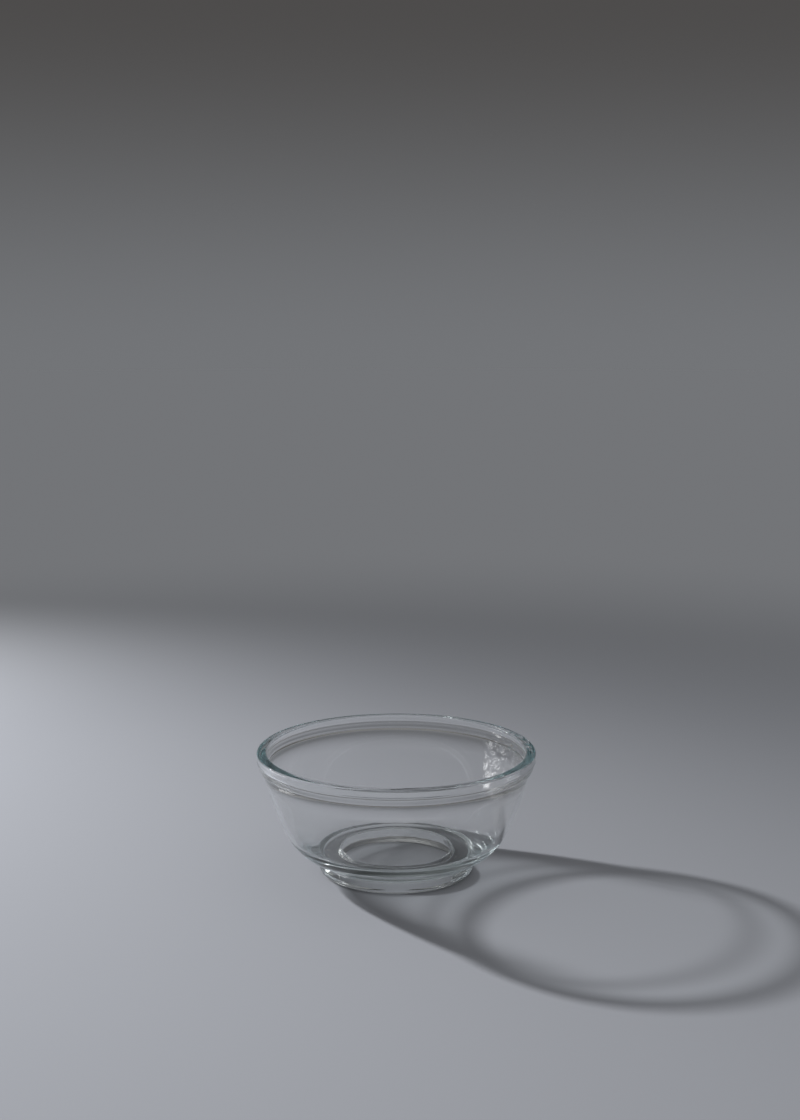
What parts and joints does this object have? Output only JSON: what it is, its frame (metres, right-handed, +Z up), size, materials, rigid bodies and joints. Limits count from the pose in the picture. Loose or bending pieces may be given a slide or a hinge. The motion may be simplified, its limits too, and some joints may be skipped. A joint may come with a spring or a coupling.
{
  "type": "prep bowl",
  "caption": "Small clear glass prep bowl with a thick collar at the rim that rolls into a thin curved wall, a flat floor and a low ring foot, for holding measured ingredients.",
  "frame": {"origin": "On the bowl's own axis, on the plane of the foot ring that it stands on.", "axes": "+Z up along the bowl's axis, out of its mouth; the bowl is turned about Z, so X and Y are any two directions across it."},
  "size_m": [0.105, 0.105, 0.047],
  "materials": {
    "clear_glass": "clear pressed glass, fire-polished, with a faint blue-green tint where it is thick and fine scuffs on the foot"
  },
  "bodies": {
    "root": {"bowl": "clear_glass"}
  },
  "joints": []
}
